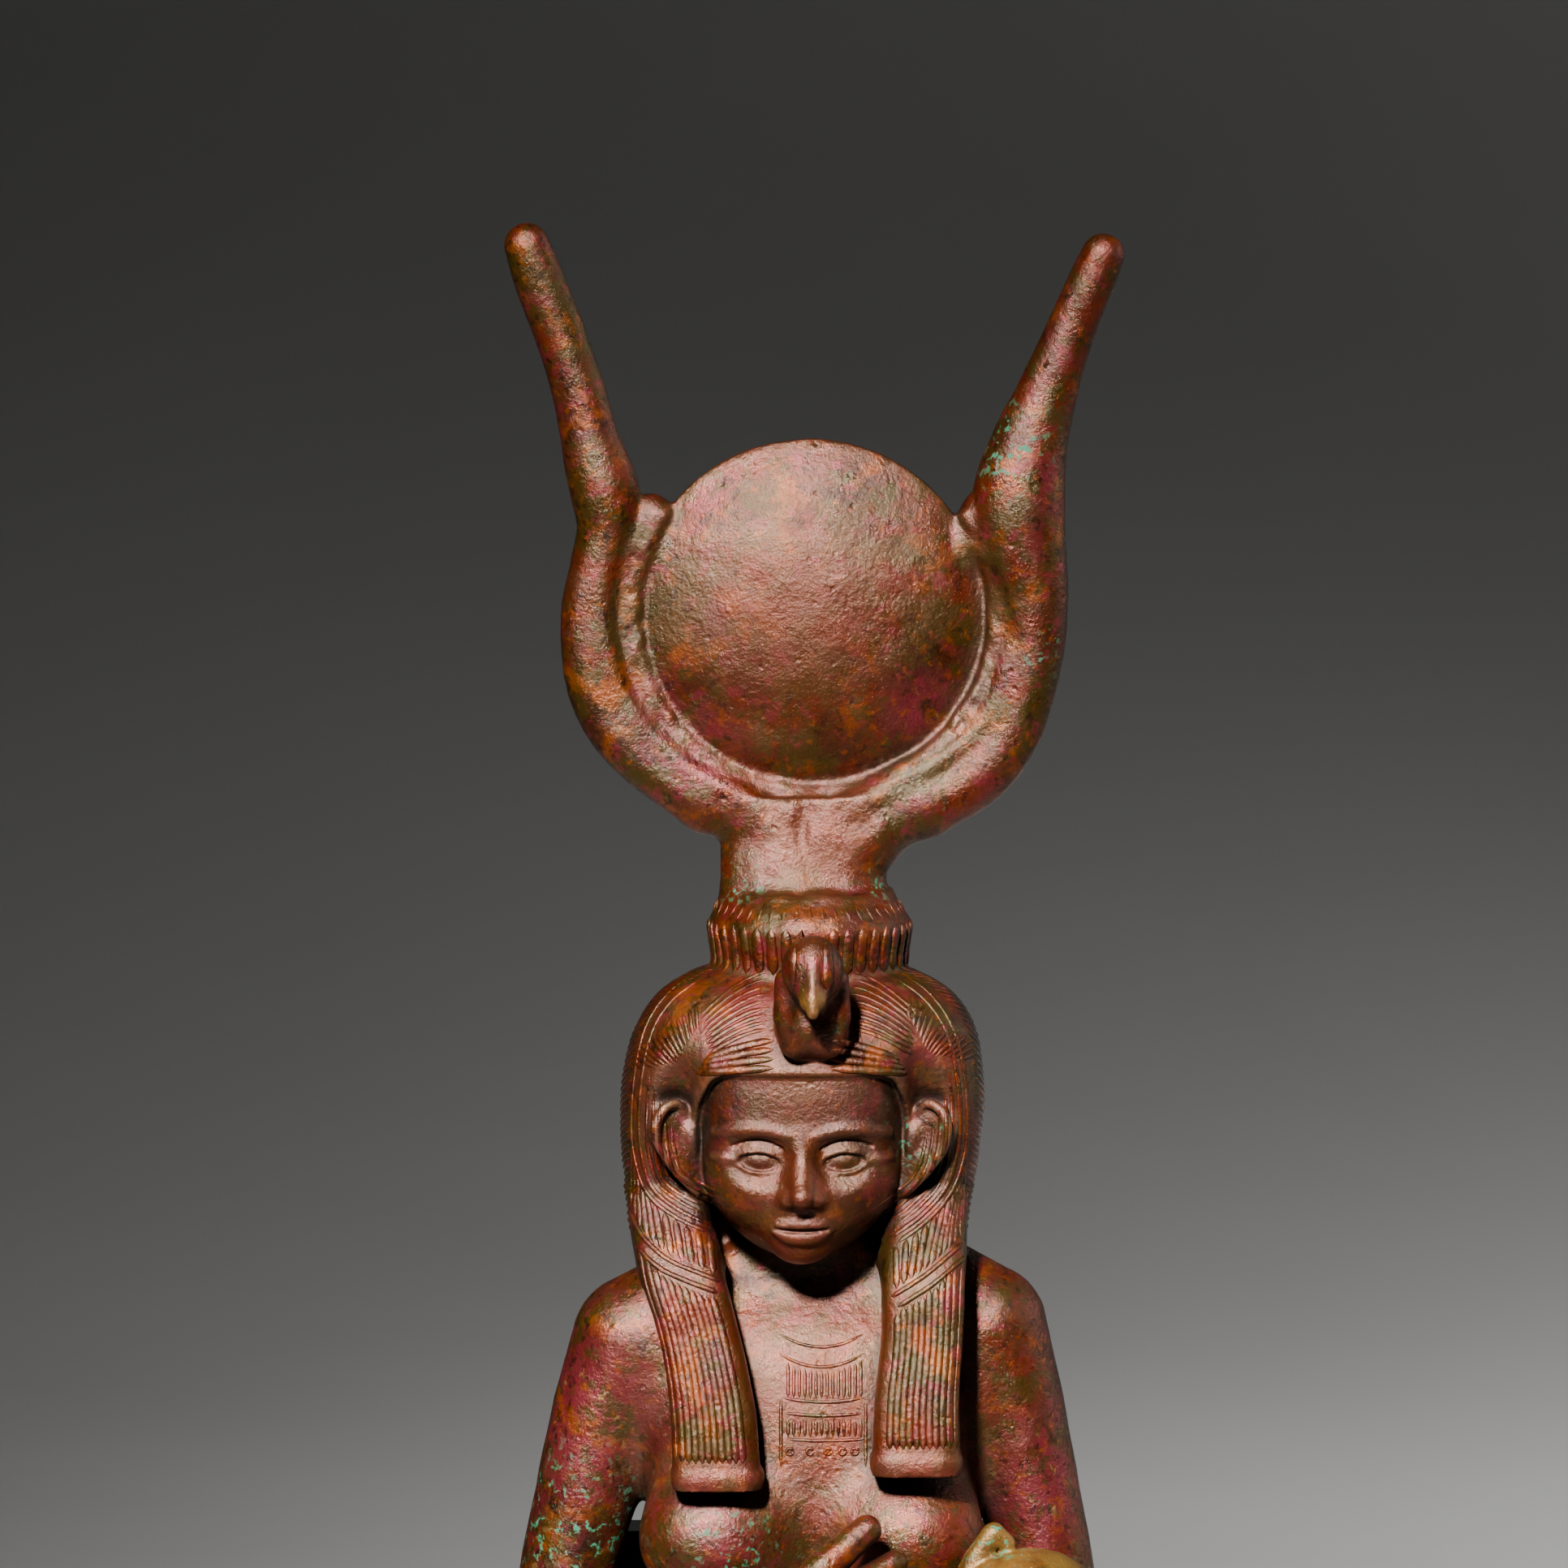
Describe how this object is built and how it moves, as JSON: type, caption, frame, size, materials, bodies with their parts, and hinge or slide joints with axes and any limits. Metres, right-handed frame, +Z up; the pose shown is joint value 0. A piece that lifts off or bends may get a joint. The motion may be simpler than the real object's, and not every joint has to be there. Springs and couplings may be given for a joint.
{
  "type": "isis and horus figure",
  "caption": "Seated bronze goddess nursing a child on her lap, with a horned sun disc crown, resting in a plain black block seat that stands on its low base.",
  "frame": {"origin": "middle of the seat's underside, below the middle of the figure", "axes": "+Z up, the goddess faces -Y, +X is the viewer's right"},
  "size_m": [0.0717, 0.0907, 0.2788],
  "materials": {
    "bronze": "cast copper alloy with a mottled red-brown patina, satin where handled",
    "black_stand": "black lacquer, smooth and glossy"
  },
  "bodies": {
    "root": {"isis_and_horus": "bronze", "block_seat": "black_stand"}
  },
  "joints": []
}
